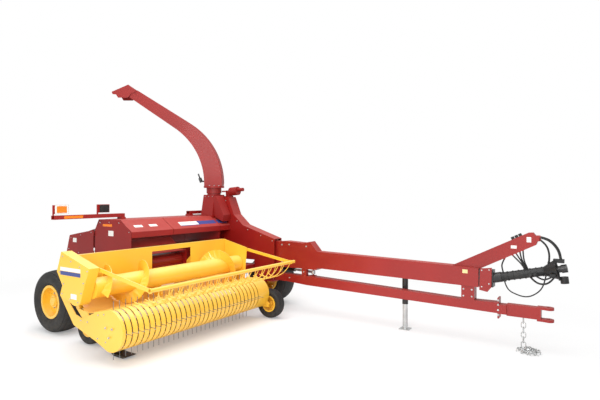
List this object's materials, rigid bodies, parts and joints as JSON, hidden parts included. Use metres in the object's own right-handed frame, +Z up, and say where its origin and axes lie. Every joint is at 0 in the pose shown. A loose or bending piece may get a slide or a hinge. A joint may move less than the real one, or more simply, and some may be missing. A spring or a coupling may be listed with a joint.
{
  "type": "forage_harvester",
  "caption": "A trailed forage harvester with a yellow windrow pickup header, an offset tongue and a curved discharge spout, standing parked on its jack.",
  "frame": {"origin": "The bottom centre of the bounding box of the whole machine, on the ground.", "axes": "+X is the machine's left side, +Y its rear, against the direction of travel, and +Z is up. The tongue points along -Y."},
  "size_m": [3.58, 6.4806, 3.533],
  "materials": {
    "bare_steel": "brushed",
    "black_paint": "satin",
    "black_plastic": "matte",
    "hose_rubber": "matte",
    "red_paint": "satin",
    "tyre_rubber": "matte",
    "yellow_paint": "satin",
    "zinc_plate": "satin"
  },
  "bodies": {
    "base": {"main_frame": "red_paint", "axle_right": "red_paint", "axle_left": "red_paint", "feed_housing": "red_paint", "cutterhead_housing": "red_paint", "cutter_drum": "bare_steel", "transfer_duct": "red_paint", "blower_housing": "red_paint", "spout_tower": "red_paint", "spout_drive": "black_paint", "side_panel_right": "red_paint", "side_panel_left": "red_paint", "roof": "red_paint", "rear_cover": "red_paint", "driveline_cover": "red_paint", "light_bar_right": "red_paint", "light_bar_left": "red_paint"},
    "wheel_main_right": {"main_tyre_right": "tyre_rubber", "main_rim_right": "yellow_paint"},
    "wheel_main_left": {"main_tyre_left": "tyre_rubber", "main_rim_left": "yellow_paint"},
    "wheel_gauge_right": {"gauge_tyre_right": "tyre_rubber", "gauge_rim_right": "yellow_paint"},
    "wheel_gauge_left": {"gauge_tyre_left": "tyre_rubber", "gauge_rim_left": "yellow_paint"},
    "header": {"header_frame": "yellow_paint", "header_end_right": "yellow_paint", "header_end_left": "yellow_paint", "pickup_bands": "yellow_paint", "pickup_skid": "black_paint"},
    "auger": {"auger_tube": "yellow_paint", "auger_flight_right": "yellow_paint", "auger_flight_left": "yellow_paint"},
    "reel": {"pickup_reel": "yellow_paint"},
    "windguard": {"windguard": "yellow_paint"},
    "spout": {"spout": "red_paint", "deflector_actuator": "black_paint"},
    "deflector": {"deflector": "red_paint"},
    "tongue": {"tongue_beam": "red_paint", "lower_rail": "red_paint", "hitch_clevis": "red_paint", "hose_arm": "red_paint", "front_gearbox": "red_paint", "gearbox_shield": "red_paint", "driveline_guard": "black_plastic", "jack_tube": "black_paint", "safety_chain": "zinc_plate", "hose_bundle": "hose_rubber", "hose_drops": "hose_rubber", "hose_loops": "hose_rubber"},
    "pto_shaft": {"pto_shaft": "bare_steel"},
    "jack_leg": {"jack_leg": "zinc_plate"},
    "swing_barrel": {"swing_barrel": "black_paint"},
    "swing_rod": {"swing_rod": "zinc_plate"},
    "right_shield": {"right_shield": "red_paint"},
    "top_cover_right": {"top_cover_right": "red_paint"},
    "top_cover_left": {"top_cover_left": "red_paint"},
    "feed_roll_lower": {"feed_roll_lower": "red_paint"},
    "feed_roll_upper": {"feed_roll_upper": "red_paint"}
  },
  "joints": [
    {"name": "main_wheel_right_roll", "type": "hinge", "parent": "base", "child": "wheel_main_right", "pos_m": [-1.272, 2.31142, 0.3935], "axis": [1, 0, 0], "continuous": true},
    {"name": "main_wheel_left_roll", "type": "hinge", "parent": "base", "child": "wheel_main_left", "pos_m": [1.605, 1.07742, 0.3935], "axis": [1, 0, 0], "continuous": true},
    {"name": "gauge_wheel_right_roll", "type": "hinge", "parent": "header", "child": "wheel_gauge_right", "pos_m": [-1.35, 1.49042, 0.205], "axis": [1, 0, 0], "continuous": true},
    {"name": "gauge_wheel_left_roll", "type": "hinge", "parent": "header", "child": "wheel_gauge_left", "pos_m": [0.775, 0.45742, 0.205], "axis": [1, 0, 0], "continuous": true},
    {"name": "header_lift", "type": "hinge", "parent": "base", "child": "header", "pos_m": [-0.35, 1.43742, 0.7], "axis": [-1, 0, 0], "range_deg": [0, 12]},
    {"name": "auger_turn", "type": "hinge", "parent": "header", "child": "auger", "pos_m": [-0.5, 1.00242, 0.75], "axis": [1, 0, 0], "continuous": true},
    {"name": "reel_turn", "type": "hinge", "parent": "header", "child": "reel", "pos_m": [-0.5, 0.63042, 0.36], "axis": [1, 0, 0], "continuous": true},
    {"name": "windguard_tilt", "type": "hinge", "parent": "header", "child": "windguard", "pos_m": [-0.5, 0.87942, 0.965], "axis": [-1, 0, 0], "range_deg": [0, 40]},
    {"name": "spout_turn", "type": "hinge", "parent": "base", "child": "spout", "pos_m": [1.03, 1.81842, 1.87], "axis": [0, 0, 1], "range_deg": [-100, 100]},
    {"name": "deflector_tilt", "type": "hinge", "parent": "spout", "child": "deflector", "pos_m": [0.33644, 2.85836, 3.43], "axis": [0.832, 0.5548, 0], "range_deg": [-10, 45]},
    {"name": "tongue_swing", "type": "hinge", "parent": "base", "child": "tongue", "pos_m": [1.16, 0.70742, 0.76], "axis": [0, 0, 1], "range_deg": [-14, 6]},
    {"name": "pto_turn", "type": "hinge", "parent": "tongue", "child": "pto_shaft", "pos_m": [1.16, -2.56858, 0.814], "axis": [0, -0.9737, 0.2278], "continuous": true},
    {"name": "jack_slide", "type": "slide", "parent": "tongue", "child": "jack_leg", "axis": [0, 0, 1], "range_m": [0, 0.3]},
    {"name": "swing_barrel_pivot", "type": "hinge", "parent": "base", "child": "swing_barrel", "pos_m": [1.355, 0.91742, 0.632], "axis": [0, 0, 1], "range_deg": [-16, 8]},
    {"name": "swing_rod_slide", "type": "slide", "parent": "swing_barrel", "child": "swing_rod", "axis": [-0.1765, -0.9843, 0], "range_m": [-0.03, 0.05]},
    {"name": "right_shield_hinge", "type": "hinge", "parent": "base", "child": "right_shield", "pos_m": [-0.81, 2.29742, 1.09], "axis": [0, 0, 1], "range_deg": [0, 100]},
    {"name": "top_cover_right_hinge", "type": "hinge", "parent": "base", "child": "top_cover_right", "pos_m": [-0.45, 1.74942, 1.404], "axis": [-1, 0, 0], "range_deg": [0, 65]},
    {"name": "top_cover_left_hinge", "type": "hinge", "parent": "base", "child": "top_cover_left", "pos_m": [0.45, 1.74942, 1.404], "axis": [-1, 0, 0], "range_deg": [0, 65]},
    {"name": "feed_roll_lower_turn", "type": "hinge", "parent": "base", "child": "feed_roll_lower", "pos_m": [-0.35, 1.49742, 0.61], "axis": [1, 0, 0], "continuous": true},
    {"name": "feed_roll_upper_turn", "type": "hinge", "parent": "base", "child": "feed_roll_upper", "pos_m": [-0.35, 1.48742, 0.85], "axis": [1, 0, 0], "continuous": true}
  ],
  "couplings": [
    {"joint": "swing_barrel_pivot", "follows": "tongue_swing", "ratio": 0.736},
    {"joint": "swing_rod_slide", "follows": "tongue_swing", "m_per_rad": -0.1418}
  ]
}
